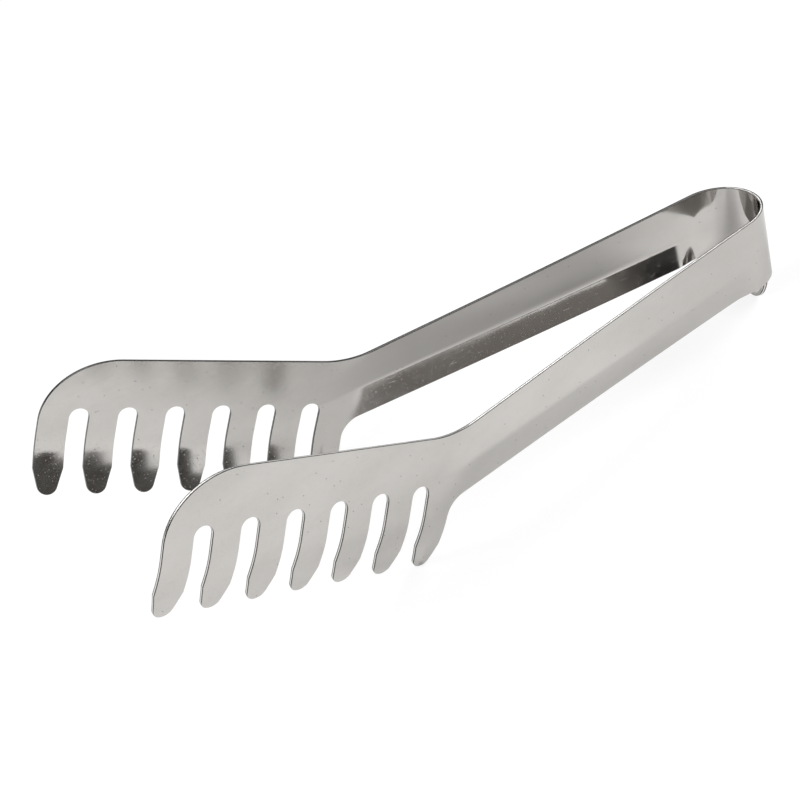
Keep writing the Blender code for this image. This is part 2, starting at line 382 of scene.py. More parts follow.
@dataclass(frozen=True)
class Blank:
    """A closed flat sheet with rolled edges, ready to be formed."""

    sizes: BlankSizes
    sheet: SheetSizes
    fine: Fineness

    def outline(self) -> list[Point]:
        """Flat outline, counter-clockwise seen from outside."""
        raise NotImplementedError

    def folds(self) -> list[list[Point]]:
        """Flat lines where the formed surface bends."""
        raise NotImplementedError

    def seams(self) -> tuple[float, ...]:
        """Runs at which the blank is cut from its neighbour."""
        raise NotImplementedError

    def strip_width(self, run: float) -> float:
        """Width of the strip: straight, with a flare at the crown."""
        size = self.sizes
        straight = size.arm_root_width
        straight += (size.arm_end_width - size.arm_root_width) * run / self.sheet.arm_length
        flare = self.sheet.bow_width - size.arm_root_width
        return straight + flare * (1 - smooth(run / size.crown_flare))

    def arc(self, centre: Point, radius: float, start: float, end: float) -> list[Point]:
        """Points of an arc in the plane."""
        angles = spread(start, end, abs(end - start) / self.fine.arc_steps)
        return [(centre[0] + radius * math.cos(a), centre[1] + radius * math.sin(a)) for a in angles]

    def fillet(self, before: Point, corner: Point, after: Point, radius: float) -> list[Point]:
        """Points of the arc that rounds a corner between two straight edges."""
        middle = Vector(corner)
        back = (Vector(before) - middle).normalized()
        ahead = (Vector(after) - middle).normalized()
        half = back.angle(ahead) / 2
        centre = middle + (back + ahead).normalized() * (radius / math.sin(half))
        first = middle + back * (radius / math.tan(half)) - centre
        last = middle + ahead * (radius / math.tan(half)) - centre
        start = math.atan2(first.y, first.x)
        turn = (math.atan2(last.y, last.x) - start + math.pi) % (2 * math.pi) - math.pi
        return self.arc((centre.x, centre.y), radius, start, start + turn)

    def edge_ways(self, outline: Sequence[Vector]) -> list[Vector]:
        """Outward way of each outline point, as long as moves both its edges by one unit.

        A seam's edge doesn't move, so the points at its ends slide along the seam.

        Args:
            outline: points of the outline, counter-clockwise.

        Returns:
            One vector for each point.
        """
        count = len(outline)
        seams = self.seams()
        normals: list[Vector] = []
        moves: list[float] = []
        for index in range(count):
            here = outline[index]
            there = outline[(index + 1) % count]
            step = (there - here).normalized()
            normals.append(Vector((step.y, -step.x)))
            gaps = (max(abs(here.x - seam), abs(there.x - seam)) for seam in seams)
            moves.append(0.0 if min(gaps) < self.fine.smallest else 1.0)
        ways = []
        for index in range(count):
            first, second = normals[index - 1], normals[index]
            move, next_move = moves[index - 1], moves[index]
            if move == next_move:
                ways.append((first + second) * (move / (1 + first.dot(second))))
            else:
                way = Vector((move * second.y - next_move * first.y, next_move * first.x - move * second.x))
                ways.append(way / first.cross(second))
        return ways

    def divided(self) -> tuple[list[Vector], list[list[int]], dict[int, Vector]]:
        """Divide the flat part of the blank along its folds.

        Returns:
            The points, the triangles, and the outward way of each point on the border.
        """
        outline = [Vector(point) for point in self.outline()]
        ways = self.edge_ways(outline)
        inner = [point - way * self.sizes.edge_crown for point, way in zip(outline, ways)]
        points = list(inner)
        edges: list[tuple[int, int]] = []
        for line in self.folds():
            first = len(points)
            points += [Vector(point) for point in line]
            edges += [(first + index, first + index + 1) for index in range(len(line) - 1)]
        face = list(range(len(inner)))
        flat, _, faces, sources, _, owners = delaunay_2d_cdt(points, edges, [face], 0, self.fine.smallest)
        kept = [list(corners) for corners, owner in zip(faces, owners) if owner]
        border = self.border_of(kept)
        origins = {index: min(sources[index], default=len(inner)) for index in border}
        known = {index: ways[origin] for index, origin in origins.items() if origin < len(inner)}
        return list(flat), kept, self.fill_between(border, flat, known)

    @staticmethod
    def border_of(faces: Sequence[Sequence[int]]) -> list[int]:
        """Points round the border of some triangles, in order, counter-clockwise."""
        edges = {edge: True for corners in faces for edge in zip(corners, [*corners[1:], corners[0]])}
        follow = {first: second for first, second in edges if (second, first) not in edges}
        border = [next(iter(follow))]
        while follow[border[-1]] != border[0]:
            border.append(follow[border[-1]])
        return border

    @staticmethod
    def fill_between(
        border: Sequence[int], flat: Sequence[Vector], known: Mapping[int, Vector]
    ) -> dict[int, Vector]:
        """Outward way of every border point, worked out between the outline's own points."""
        count = len(border)
        start = next(place for place, index in enumerate(border) if index in known)
        found = dict(known)
        waiting: list[int] = []
        last = border[start]
        for place in range(start + 1, start + count + 1):
            index = border[place % count]
            if index not in known:
                waiting.append(index)
                continue
            span = (flat[index] - flat[last]).length
            for between in waiting:
                share = (flat[between] - flat[last]).length / span
                found[between] = known[last].lerp(known[index], share)
            waiting = []
            last = index
        return {index: found[index] for index in border}

    def mesh(self, name: str) -> bpy.types.Mesh:
        """Closed flat solid of the blank, with its normals in the attribute that the forming turns.

        Args:
            name: name of the mesh.

        Returns:
            The mesh in flat coordinates.
        """
        flat, faces, ways = self.divided()
        half = self.sizes.sheet / 2
        roll = self.sizes.edge_roll
        crown = self.sizes.edge_crown
        bm = bmesh.new()
        normal_layer = bm.verts.layers.float_vector.new(ROLLED)
        cut_layer = bm.verts.layers.float.new(CUT)
        map_layer = bm.loops.layers.uv.new(RUN_MAP)

        def vert(place: Vector, lift: float, normal: Vector, cut: float = 0.0) -> bmesh.types.BMVert:
            """A point of the solid with its flat normal and its share of the way onto the cut face."""
            made = bm.verts.new((place.x, place.y, lift))
            made[normal_layer] = normal
            made[cut_layer] = cut
            return made

        used = sorted({corner for corners in faces for corner in corners})
        fronts = {index: vert(flat[index], half, Vector((0.0, 0.0, 1.0))) for index in used}
        backs = {index: vert(flat[index], -half, Vector((0.0, 0.0, -1.0))) for index in used}
        for corners in faces:
            bm.faces.new([fronts[index] for index in corners])
            bm.faces.new([backs[index] for index in reversed(corners)])
        turns = spread(0.0, math.pi / 2, math.pi / 2 / self.sizes.edge_steps)[1:]
        columns: dict[int, list[bmesh.types.BMVert]] = {}
        for index, way in ways.items():
            column = [fronts[index]]
            out = way.normalized() if way.length > 0 else way
            for face_side, angles in ((1.0, turns), (-1.0, list(reversed(turns)))):
                for angle in angles:
                    place = flat[index] + way * (crown * math.sin(angle))
                    lift = face_side * (half - roll * (1 - math.cos(angle)))
                    slant = out * (roll * math.sin(angle))
                    normal = Vector((slant.x, slant.y, face_side * crown * math.cos(angle))).normalized()
                    column.append(vert(place, lift, normal, math.sin(angle)))
            columns[index] = column + [backs[index]]
        order = list(ways)
        for first, second in zip(order, order[1:] + order[:1]):
            if self.on_seam(flat[first]) and self.on_seam(flat[second]):
                continue
            left, right = columns[first], columns[second]
            for step in range(len(left) - 1):
                bm.faces.new((left[step], left[step + 1], right[step + 1], right[step]))
        loose = [vertex for vertex in bm.verts if not vertex.link_faces]
        bmesh.ops.delete(bm, geom=loose, context="VERTS")
        bmesh.ops.holes_fill(bm, edges=bm.edges, sides=0)
        for made in bm.faces:
            for loop in made.loops:
                side_shift = FACE_SHIFT if loop.vert.co.z < 0 else 0.0
                loop[map_layer].uv = (loop.vert.co.x + side_shift, loop.vert.co.y)
        mesh = bpy.data.meshes.new(name)
        bm.to_mesh(mesh)
        bm.free()
        return mesh

    def on_seam(self, point: Vector) -> bool:
        """Whether a flat point lies on a seam."""
        return any(abs(point.x - seam) < self.fine.smallest for seam in self.seams())


class BowBlank(Blank):
    """The crown of the bow with its foot, a round-ended tongue."""

    def seams(self) -> tuple[float, ...]:
        """Both ends of the crown."""
        return (-self.sizes.seam, self.sizes.seam)

    def outline(self) -> list[Point]:
        """From the right end of the top edge, counter-clockwise: left on top, back along the foot."""
        size = self.sizes
        end = size.seam
        half = size.foot_width / 2
        base = -self.sheet.bow_width
        hip = self.fillet((end, base), (half, base), (half, base - size.foot_length), size.foot_fillet)
        toe = self.arc((0.0, base - size.foot_length + half), half, 0.0, -math.pi / 2)
        edge = [(run, -self.strip_width(run)) for run in spread(end, hip[0][0], self.fine.column)[:-1]]
        right = [(end, 0.0)] + edge + hip + toe
        clockwise = right + [(-run, rise) for run, rise in reversed(right[:-1])]
        return list(reversed(clockwise))

    def folds(self) -> list[list[Point]]:
        """Lines across the crown, and across the foot where it bends."""
        size = self.sizes
        over = self.fine.overrun
        toe = -self.sheet.bow_width - size.foot_length - over
        runs = spread(-size.seam, size.seam, self.sheet.bow_radius * self.fine.bend)
        lines = [[(run, over), (run, toe)] for run in runs[1:-1]]
        for below in spread(0.0, self.sheet.foot_bend_radius * self.sheet.foot_lean, self.fine.column / 2):
            rise = -self.sheet.bow_width - below
            lines.append([(-size.foot_width, rise), (size.foot_width, rise)])
        return lines


class ArmBlank(Blank):
    """One arm with its comb head."""

    def seams(self) -> tuple[float, ...]:
        """The end that meets the crown."""
        return (self.sizes.seam,)

    def from_head(self, along: float, below: float) -> Point:
        """Flat point of a point of the head."""
        return head_to_strip(self.sheet, along, below)

    def slot_place(self, number: int) -> Point:
        """Centre line and top of a slot, counted from the rear."""
        size = self.sizes
        share = number / (size.teeth - 2)
        top = size.rear_slot_top + (size.front_slot_top - size.rear_slot_top) * share
        return size.rear_slot + number * size.pitch, top

    def tooth_end(self, front: float, rear: float) -> list[Point]:
        """Points round a tooth's tip in head coordinates: straight tapers into a round end."""
        size = self.sizes
        middle = (front + rear) / 2
        half = (front - rear) / 2
        centre = size.tooth_length - size.tip_radius
        drop = centre - size.tooth_taper
        start = math.atan2(-drop, half) + math.acos(size.tip_radius / math.hypot(half, drop))
        tip = self.arc((middle, centre), size.tip_radius, start, math.pi - start)
        return [(front, size.tooth_taper)] + tip + [(rear, size.tooth_taper)]

    def slot_top(self, number: int) -> list[Point]:
        """Points round the closed end of a slot in head coordinates, front to rear."""
        middle, top = self.slot_place(number)
        half = self.sizes.slot_width / 2
        return self.arc((middle, top + half), half, 0.0, -math.pi)

    def comb_edge(self) -> list[Point]:
        """The head's edge in head coordinates, from the nose round every tooth to the last rear taper."""
        size = self.sizes
        front = size.head_length
        points = [
            (front - size.nose_length * (1 - math.sin(angle)), size.nose_depth * (1 - math.cos(angle)))
            for angle in spread(0.0, math.pi / 2, self.fine.bend)
        ]
        for number in reversed(range(size.teeth - 1)):
            middle = self.slot_place(number)[0]
            points += self.tooth_end(front, middle + size.slot_width / 2) + self.slot_top(number)
            front = middle - size.slot_width / 2
        return points + self.tooth_end(front, -size.rear_edge)

    def rear_corner(self) -> Point:
        """Flat point where the last tooth's rear edge would meet the arm's lower edge."""
        turn = self.sheet.head_turn
        slope = (self.sizes.arm_end_width - self.sizes.arm_root_width) / self.sheet.arm_length
        run, rise = self.from_head(-self.sizes.rear_edge, 0.0)
        gap = rise + self.strip_width(run)
        return self.from_head(-self.sizes.rear_edge, gap / (math.cos(turn) - slope * math.sin(turn)))

    def stations(self) -> list[float]:
        """Lengths along the strip where the arm is divided: fine round the bow, coarser after it."""
        sheet = self.sheet
        exit_run = sheet.bow_radius * (math.pi / 2 - sheet.bow_exit_angle)
        bow = spread(self.sizes.seam, exit_run, sheet.bow_radius * self.fine.bend)
        return bow + spread(exit_run, sheet.arm_length, self.fine.fold)[1:]

    def outline(self) -> list[Point]:
        """From the root of the top edge, counter-clockwise: along the bottom and round the comb."""
        size = self.sizes
        comb = [self.from_head(*point) for point in self.comb_edge()]
        neck = self.fillet((0.0, 0.0), (self.sheet.arm_length, 0.0), comb[0], size.neck_radius)
        foot_of_flare = (size.crown_flare, -self.strip_width(size.crown_flare))
        crotch = self.fillet(comb[-1], self.rear_corner(), foot_of_flare, size.rear_fillet)
        stations = self.stations()
        end = crotch[-1][0] - self.fine.fold / 2
        lower = [(run, -self.strip_width(run)) for run in reversed(stations) if run < end]
        clockwise = [(stations[0], 0.0)] + neck + comb + crotch + lower
        return list(reversed(clockwise))

    def folds(self) -> list[list[Point]]:
        """Lines across the bow and the arm, along the ridge, and across the claws."""
        sheet, size, fine = self.sheet, self.sizes, self.fine
        stations = self.stations()
        over = fine.overrun
        lines = [[(run, over), (run, -self.strip_width(run) - over)] for run in stations[1:]]
        faded = sheet.ridge_fade - sheet.ridge_lead
        soft = sheet.ridge_round
        down = -math.pi / 2
        ridged = [run for run in stations if run >= sheet.ridge_start]
        for shift in spread(-soft, soft, 2 * soft / (fine.ridge_lines - 1)):
            end_depth = sheet.ridge_end_depth + shift
            ridge = [(run, -ridge_depth(sheet, run) - shift) for run in ridged]
            corner = self.arc((sheet.arm_length, 0.0), end_depth, down, down + sheet.head_turn)
            lines.append(ridge + corner[1:] + [self.from_head(faded, end_depth)])
        front = size.head_length + over
        rear = -size.rear_edge - over
        rows = [sheet.ridge_end_depth + sheet.band_reach]
        rows += spread(sheet.curl_start, size.tooth_length, fine.row)
        for below in rows:
            lines.append([self.from_head(rear, below), self.from_head(front, below)])
        for along in spread(-sheet.ridge_lead, faded, fine.column):
            top = min(along * math.tan(sheet.head_turn), 0.0) - over
            lines.append([self.from_head(along, top), self.from_head(along, size.tooth_length)])
        return lines


class SheetForming:
    """The Geometry Nodes tree that forms a flat blank into its place on the tongs."""

    STEP = 0.02 * MM

    def __init__(self, sizes: SheetSizes) -> None:
        """Build the tree, with one named input for each size."""
        self.tree = bpy.data.node_groups.new("sheet_forming", "GeometryNodeTree")
        self.graph = Graph(self.tree)
        face = self.tree.interface
        face.new_socket("Blank", in_out="INPUT", socket_type="NodeSocketGeometry")
        for field in fields(sizes):
            socket = face.new_socket(self.words(field.name), in_out="INPUT", socket_type="NodeSocketFloat")
            socket.default_value = getattr(sizes, field.name)
        for name, kind in (
            ("Side", "NodeSocketFloat"),
            ("Tilt", "NodeSocketFloat"),
            ("Place", "NodeSocketVector"),
            ("Steel", "NodeSocketMaterial"),
        ):
            face.new_socket(name, in_out="INPUT", socket_type=kind)
        face.new_socket("Sheet", in_out="OUTPUT", socket_type="NodeSocketGeometry")
        self.inputs = self.graph.add("NodeGroupInput")
        self.sizes = SimpleNamespace()
        for field in fields(sizes):
            setattr(self.sizes, field.name, self.graph.number(self.inputs, self.words(field.name)))
        self.build()

    @staticmethod
    def words(name: str) -> str:
        """A size's name as the label of its input."""
        return name.replace("_", " ").capitalize()

    def to_head(self, run: Number, rise: Number) -> tuple[Number, Number]:
        """Distances along the head and below its top edge."""
        turn = self.sizes.head_turn
        past = run - self.sizes.arm_length
        return past * turn.cos() + rise * turn.sin(), past * turn.sin() - rise * turn.cos()

    def band_inward(self, run: Number, rise: Number, along: Number, below: Number) -> Number:
        """How far the ridge and the band below it move a point towards the other arm."""
        size = self.sizes
        length = size.arm_length
        past_corner = run > length
        on_head = past_corner * (along > 0.0)
        round_corner = past_corner - on_head
        sweep = ((run - length) * (run - length) + rise * rise).root()
        depth = on_head * below + round_corner * sweep - (1.0 - past_corner) * rise
        ridge = ridge_depth(size, run)
        reach = size.band_reach
        soft = size.ridge_round
        past = (depth - ridge).at_most(reach)
        turning = past.at_least(-soft).at_most(soft) + soft
        rounded = turning * turning / (4.0 * soft) + (past - soft).at_least(0.0)
        slope = size.ridge_height / ridge
        bulge = slope * depth.at_most(ridge + reach).at_least(0.0)
        fade = 1.0 - smooth((along + size.ridge_lead) / size.ridge_fade)
        weight = smooth((run - size.ridge_start) / (size.ridge_full - size.ridge_start)) * fade
        lean = smooth((run - size.lean_start) / (size.lean_full - size.lean_start)) * fade
        return weight * (slope + size.band_angle.tan()) * rounded - lean * bulge

    def formed(self, run: Number, rise: Number) -> Socket:
        """Formed place of a flat point on the middle of the sheet.

        Args:
            run: length along the strip.
            rise: height above the strip's top edge.

        Returns:
            The place, with the crown at x = 0 and the arm along +X and at +Y.
        """
        size = self.sizes
        along, below = self.to_head(run, rise)
        inward = self.band_inward(run, rise, along, below)
        curl_radius = size.curl_radius
        curl_start = size.curl_start
        past = (below - curl_start).at_least(0.0)
        curl = (past / curl_radius).at_most(size.curl_turn)
        tip_radius = size.tip_curl_radius
        tip_curl = (past - curl * curl_radius) / tip_radius
        ahead = tip_radius * tip_curl.sin()
        aside = tip_radius * (1.0 - tip_curl.cos())
        inward = inward + curl_radius * (1.0 - curl.cos()) + ahead * curl.sin() + aside * curl.cos()
        drop = curl_radius * curl.sin() + ahead * curl.cos() - aside * curl.sin()
        on_crown = run < size.crown_end
        hang = ((0.0 - rise) - size.bow_width).at_least(0.0) * on_crown
        foot_radius = size.foot_bend_radius
        bend = (hang / foot_radius).at_most(size.foot_lean)
        rest = hang - bend * foot_radius
        inward = inward + foot_radius * (1.0 - bend.cos()) + rest * bend.sin()
        run, rise = head_to_strip(size, along, below.at_most(curl_start) + drop)
        rise = rise + hang - foot_radius * bend.sin() - rest * bend.cos()
        x, y = self.in_plan(run, inward)
        return self.graph.vector(x, y, rise)

    def in_plan(self, run: Number, inward: Number) -> tuple[Number, Number]:
        """Place in plan: round the bow, through the ease, then straight."""
        size = self.sizes
        radius = size.bow_radius
        exit_angle = size.bow_exit_angle
        bow_length = radius * (math.pi / 2 - exit_angle)
        bow_turn = run.at_most(bow_length) / radius
        ease = size.arm_ease
        past = run - bow_length
        eased = past.at_least(0.0).at_most(ease)
        turn = (size.arm_angle - exit_angle) * eased / ease
        chord = math.pi / 2 - bow_turn + turn / 2.0
        heading = math.pi / 2 - bow_turn + turn
        straight = (past - ease).at_least(0.0)
        x = radius * (1.0 - bow_turn.cos()) + eased * chord.cos()
        y = radius * bow_turn.sin() + eased * chord.sin()
        x = x + straight * heading.cos() + inward * heading.sin()
        y = y + straight * heading.sin() - inward * heading.cos()
        return x, y

    def build(self) -> None:
        """Form every point and its normal, mirror, tilt and place the sheet, and give it its steel."""
        graph = self.graph
        run, rise, lift = graph.split(graph.first("GeometryNodeInputPosition"))
        here = self.formed(run, rise)
        ahead = self.formed(run + self.STEP, rise)
        above = self.formed(run, rise + self.STEP)
        along_way = graph.vectors("NORMALIZE", graph.vectors("SUBTRACT", ahead, here))
        up_way = graph.vectors("NORMALIZE", graph.vectors("SUBTRACT", above, here))
        out_way = graph.vectors("NORMALIZE", graph.vectors("CROSS_PRODUCT", up_way, along_way))
        place = graph.vectors("ADD", here, self.scaled(out_way, lift))
        kind = "FLOAT_VECTOR"
        stored = graph.add("GeometryNodeInputNamedAttribute", {"Name": ROLLED}, data_type=kind)
        along, up, out = graph.split(stored.outputs["Attribute"])
        across = graph.vectors("ADD", self.scaled(up_way, up), self.scaled(out_way, out))
        normal = self.turned(graph.vectors("ADD", self.scaled(along_way, along), across))
        sockets = {"Geometry": self.inputs.outputs["Blank"], "Name": ROLLED, "Value": normal}
        kept = graph.first("GeometryNodeStoreNamedAttribute", sockets, data_type=kind, domain="POINT")
        placed_at = graph.vectors("ADD", self.turned(place), self.inputs.outputs["Place"])
        shaped = graph.first("GeometryNodeSetPosition", {"Geometry": kept, "Position": placed_at})
        sockets = {"Mesh": shaped, "Selection": graph.number(self.inputs, "Side") > 0.0}
        flipped = graph.first("GeometryNodeFlipFaces", sockets)
        real = graph.first("GeometryNodeRealizeInstances", {"Geometry": flipped})
        sockets = {"Geometry": real, "Material": self.inputs.outputs["Steel"]}
        steel = graph.first("GeometryNodeSetMaterial", sockets)
        graph.add("NodeGroupOutput", {"Sheet": steel})

    def scaled(self, vector: Socket, factor: Number) -> Socket:
        """A vector times a number."""
        return self.graph.first("ShaderNodeVectorMath", {0: vector, "Scale": factor}, operation="SCALE")

    def turned(self, vector: Socket) -> Socket:
        """A vector mirrored to its side and tilted as the tongs stand."""
        graph = self.graph
        mirror = graph.vector(1.0, graph.number(self.inputs, "Side"), 1.0)
        tilt = graph.vector(0.0, graph.number(self.inputs, "Tilt"), 0.0)
        sockets = {"Vector": graph.vectors("MULTIPLY", vector, mirror), "Rotation": tilt}
        return graph.first("ShaderNodeVectorRotate", sockets, rotation_type="EULER_XYZ")

    def form(
        self,
        name: str,
        blank: bpy.types.Mesh,
        side: Side,
        stand: tuple[float, Vector],
        steel: bpy.types.Material,
    ) -> bpy.types.Object:
        """Run the tree on a blank and keep the result as a plain mesh with the strip's own normals.

        Args:
            name: name of the finished piece.
            blank: flat solid.
            side: side of the tongs that the piece lies on.
            stand: turn about Y that the tongs stand at, and where the crown's top edge is.
            steel: material of the piece.

        Returns:
            The finished piece, at the origin.
        """
        draft = placed(name + "_blank", blank)
        modifier = draft.modifiers.new("forming", "NODES")
        modifier.node_group = self.tree
        values = {"Side": side.value, "Tilt": stand[0], "Place": stand[1], "Steel": steel}
        for item in self.tree.interface.items_tree:
            if item.in_out == "INPUT" and item.name in values:
                modifier[item.identifier] = values[item.name]
        bpy.context.view_layer.update()
        graph = bpy.context.evaluated_depsgraph_get()
        formed = draft.evaluated_get(graph)
        mesh = bpy.data.meshes.new_from_object(formed, preserve_all_data_layers=True, depsgraph=graph)
        draft.modifiers.remove(modifier)
        bpy.data.objects.remove(draft)
        mesh.name = name
        self.keep_normals(mesh)
        return placed(name, mesh)

    @staticmethod
    def keep_normals(mesh: bpy.types.Mesh) -> None:
        """Shade the sheet by its formed normals, and its flat seam ends by their own."""
        rolled = np.empty(len(mesh.vertices) * 3, np.float32)
        mesh.attributes[ROLLED].data.foreach_get("vector", rolled)
        rolled = rolled.reshape(-1, 3)
        mesh.attributes.remove(mesh.attributes[ROLLED])
        normals: list[Sequence[float]] = []
        mesh.shade_smooth()
        for polygon in mesh.polygons:
            seam_end = len(polygon.vertices) > 4
            for vertex in polygon.vertices:
                normals.append(tuple(polygon.normal) if seam_end else tuple(rolled[vertex]))
        mesh.normals_split_custom_set(normals)


@dataclass(frozen=True)
class Effect:
    """What one kind of unevenness does to the steel.

    Attributes:
        dull: how far it turns the colour to the worn one.
        rough: how much rougher it makes it.
        height: how far it stands out, in millimetres.
    """

    dull: float = 0.0
    rough: float = 0.0
    height: float = 0.0


@dataclass(frozen=True)
class Layer:
    """Unevenness all over the sheet, from stretched noise.

    Attributes:
        stretch: grains to a millimetre along the run, along the rise and between the faces.
        detail: how many finer layers are added.
        effect: what it does to the steel.
        span: noise at which it begins and is full, or None where it swings about nothing.
    """

    stretch: tuple[float, float, float]
    detail: float
    effect: Effect
    span: Span | None = None

    def build(self, graph: Graph, place: Socket) -> Number:
        """The layer's level at a place."""
        stretched = graph.vectors("MULTIPLY", place, Vector(self.stretch))
        sockets = {"Vector": stretched, "Scale": 1.0, "Detail": self.detail}
        noise = graph.number(graph.add("ShaderNodeTexNoise", sockets))
        return graph.between(noise, *self.span) if self.span else noise - 0.5


@dataclass(frozen=True)
class Spots:
    """Small marks scattered over the sheet, each in its own random cell.

    Attributes:
        pitch: cells to a millimetre.
        share: share of the cells that hold a mark.
        core, rim: distances from a cell's middle, in cells, at which its mark begins to fade and is gone.
        draw: which of the cell's three random numbers chooses it.
    """

    pitch: float
    share: float
    core: float
    rim: float
    draw: int

    def build(self, graph: Graph, place: Socket) -> Number:
        """1 on a mark and 0 beside it."""
        sockets = {"Vector": place, "Scale": self.pitch}
        cells = graph.add("ShaderNodeTexVoronoi", sockets, voronoi_dimensions="2D")
        chosen = graph.split(cells.outputs["Color"])[self.draw] < self.share
        return (1.0 - graph.between(graph.number(cells, "Distance"), self.core, self.rim)) * chosen


@dataclass(frozen=True)
class Scratches:
    """Thin straight scratches in one direction.

    Attributes:
        angle: direction from the run.
        pitch: cells to a millimetre across the scratches.
        share: share of the cells that hold a scratch.
        length_pitch: cells to a millimetre along the scratches.
        core, rim: as for spots.
    """

    angle: float
    pitch: float
    share: float
    length_pitch: float = 0.055
    core: float = 0.03
    rim: float = 0.09

    def build(self, graph: Graph, place: Socket) -> Number:
        """1 on a scratch and 0 beside it."""
        sockets = {"Vector": place, "Angle": self.angle}
        turned = graph.first("ShaderNodeVectorRotate", sockets, rotation_type="Z_AXIS")
        stretched = graph.vectors("MULTIPLY", turned, Vector((self.length_pitch, self.pitch, 1.0)))
        return Spots(1.0, self.share, self.core, self.rim, 0).build(graph, stretched)


@dataclass(frozen=True)
class Steel:
    """Stainless sheet as it leaves the rolls, lightly polished, with the marks of some use, and with
    painted shade and highlights on its faces and edges.

    Lengths are in millimetres on the strip.

    Attributes:
        name: name of the material.
        side: which way the strip's own run is counted on this piece, so that the marks pass the seams.
        colour: colour of the metal.
        worn: colour where it is slightly dulled.
        handled: colour of the painted shade on the inner and the outer face.
        pit: colour in the fine pits.
        sheared, painted_edge_span: colour painted on the flat of the cut edges, light for a painted
            highlight and dark for painted shade, and the shares of the way onto them.
        corner, edge_line_fades, edge_line_depth: colour of the painted dark reflection lines along the
            corners beside the cut edges, its fading and strength.
        gloss: roughness of the cleanest sheet.
        head_roughness, claw_roughness: how much rougher the flat of the head and the claws are.
        speck_roughness: how much rougher the fine specks are, on the strip and more on the claws.
        cut_roughness: roughness of the cut edges.
        grip, palm: how far painted shade darkens the inner and the outer face, standing for the darker
            table that they mirror.
        grip_start, grip_end, palm_end: runs over which that begins and ends.
        ridge_depth, ridge_climb: depth of the ridge at the crown, and its climb to a unit of run.
        ridge_edge: heights above the ridge between which the painted shade on the inner face begins.
        arm_length, head_turn: where the head begins, and how far it turns up.
        head_start, claw_start: run and depth below the head's top over which those begin.
        layers: the unevenness all over the sheet.
        scratches, scratched: the scratches, and what they do.
        pits, pitted: the pits, and what they do.
        specks: the fine specks.
    """

    name: str
    side: Side = Side.LEFT
    colour: Colour = (0.635, 0.615, 0.59, 1.0)
    worn: Colour = (0.56, 0.54, 0.515, 1.0)
    # Painted shade on the inner face above the ridge and on the outer face near the bow.
    handled: Colour = (0.38, 0.366, 0.35, 1.0)
    pit: Colour = (0.16, 0.15, 0.14, 1.0)
    # Painted highlight on the flat of the cut edges.
    sheared: Colour = (0.8, 0.785, 0.765, 1.0)
    painted_edge_span: Span = (0.9, 1.0)
    # Painted dark reflection lines beside the cut edges.
    corner: Colour = (0.06, 0.057, 0.053, 1.0)
    edge_line_fades: Span = (6.0, 20.0)
    edge_line_depth: float = 0.95
    gloss: float = 0.055
    head_roughness: float = 0.12
    claw_roughness: float = 0.035
    speck_roughness: Span = (0.128, 0.32)
    cut_roughness: float = 0.06
    # How strong the painted shade on the faces is, and over which runs it lies.
    grip: float = 0.76
    palm: float = 0.35
    grip_start: Span = (18.0, 50.0)
    grip_end: Span = (108.0, 150.0)
    palm_end: Span = (45.0, 80.0)
    ridge_depth: float = 13.4
    ridge_climb: float = 0.035
    ridge_edge: Span = (-0.2, 0.6)
    arm_length: float = 125.4
    head_turn: float = math.radians(28.0)
    head_start: Span = (112.0, 136.0)
    claw_start: Span = (17.0, 22.0)
    layers: tuple[Layer, ...] = (
        Layer((0.045, 0.11, 1.0), 3.0, Effect(dull=0.45, rough=0.04), (0.36, 0.66)),
        Layer((0.4, 0.7, 1.0), 3.0, Effect(dull=0.2, rough=0.02), (0.5, 0.72)),
        Layer((0.35, 14.0, 1.0), 3.0, Effect(dull=0.5, rough=0.03, height=0.0003)),
        Layer((1.7, 1.7, 1.0), 2.0, Effect(height=0.0012)),
        Layer((0.07, 0.10, 1.0), 1.0, Effect(height=0.03)),
    )
    scratches: tuple[Scratches, ...] = (
        Scratches(0.12, 2.2, 0.10),
        Scratches(-0.5, 1.1, 0.05),
        Scratches(1.25, 0.8, 0.035),
    )
    scratched: Effect = Effect(dull=0.25, rough=0.06, height=-0.0015)
    pits: Spots = Spots(0.32, 0.16, 0.025, 0.055, 1)
    pitted: Effect = Effect(height=-0.01)
    specks: Spots = Spots(1.1, 0.3, 0.06, 0.16, 2)

    def place(self, graph: Graph) -> Socket:
        """Place on the strip in millimetres: run, rise and which face it is."""
        run, rise, _ = graph.split(graph.first("ShaderNodeUVMap", uv_map=RUN_MAP))
        inner = run > FACE_SHIFT - LONGEST_RUN
        along = run * self.side.value + inner * (FACE_SHIFT * (1.0 - self.side.value))
        return graph.vector(along / MM, rise / MM, inner * FACE_GAP)

    def material(self) -> bpy.types.Material:
        """Build the material."""
        material = bpy.data.materials.new(self.name)
        material.use_nodes = True
        graph = Graph(material.node_tree)
        between = graph.between
        place = self.place(graph)
        along, rise, face = graph.split(place)
        inner = face > 1.0
        run = (along.size() - inner * (FACE_SHIFT / MM)).size()
        below = (run - self.arm_length) * math.sin(self.head_turn) - rise * math.cos(self.head_turn)
        cut = graph.number(graph.add("ShaderNodeAttribute", attribute_name=CUT), "Fac")
        marks, *more_marks = (scratches.build(graph, place) for scratches in self.scratches)
        for others in more_marks:
            marks = marks.at_least(others)
        pits = self.pits.build(graph, place)
        uneven = [(layer.effect, layer.build(graph, place)) for layer in self.layers]
        uneven += [(self.scratched, marks), (self.pitted, pits)]

        def total(kind: str) -> Number:
            """What all the unevenness together adds to the dullness, the roughness or the height."""
            return sum(level * getattr(effect, kind) for effect, level in uneven if getattr(effect, kind))

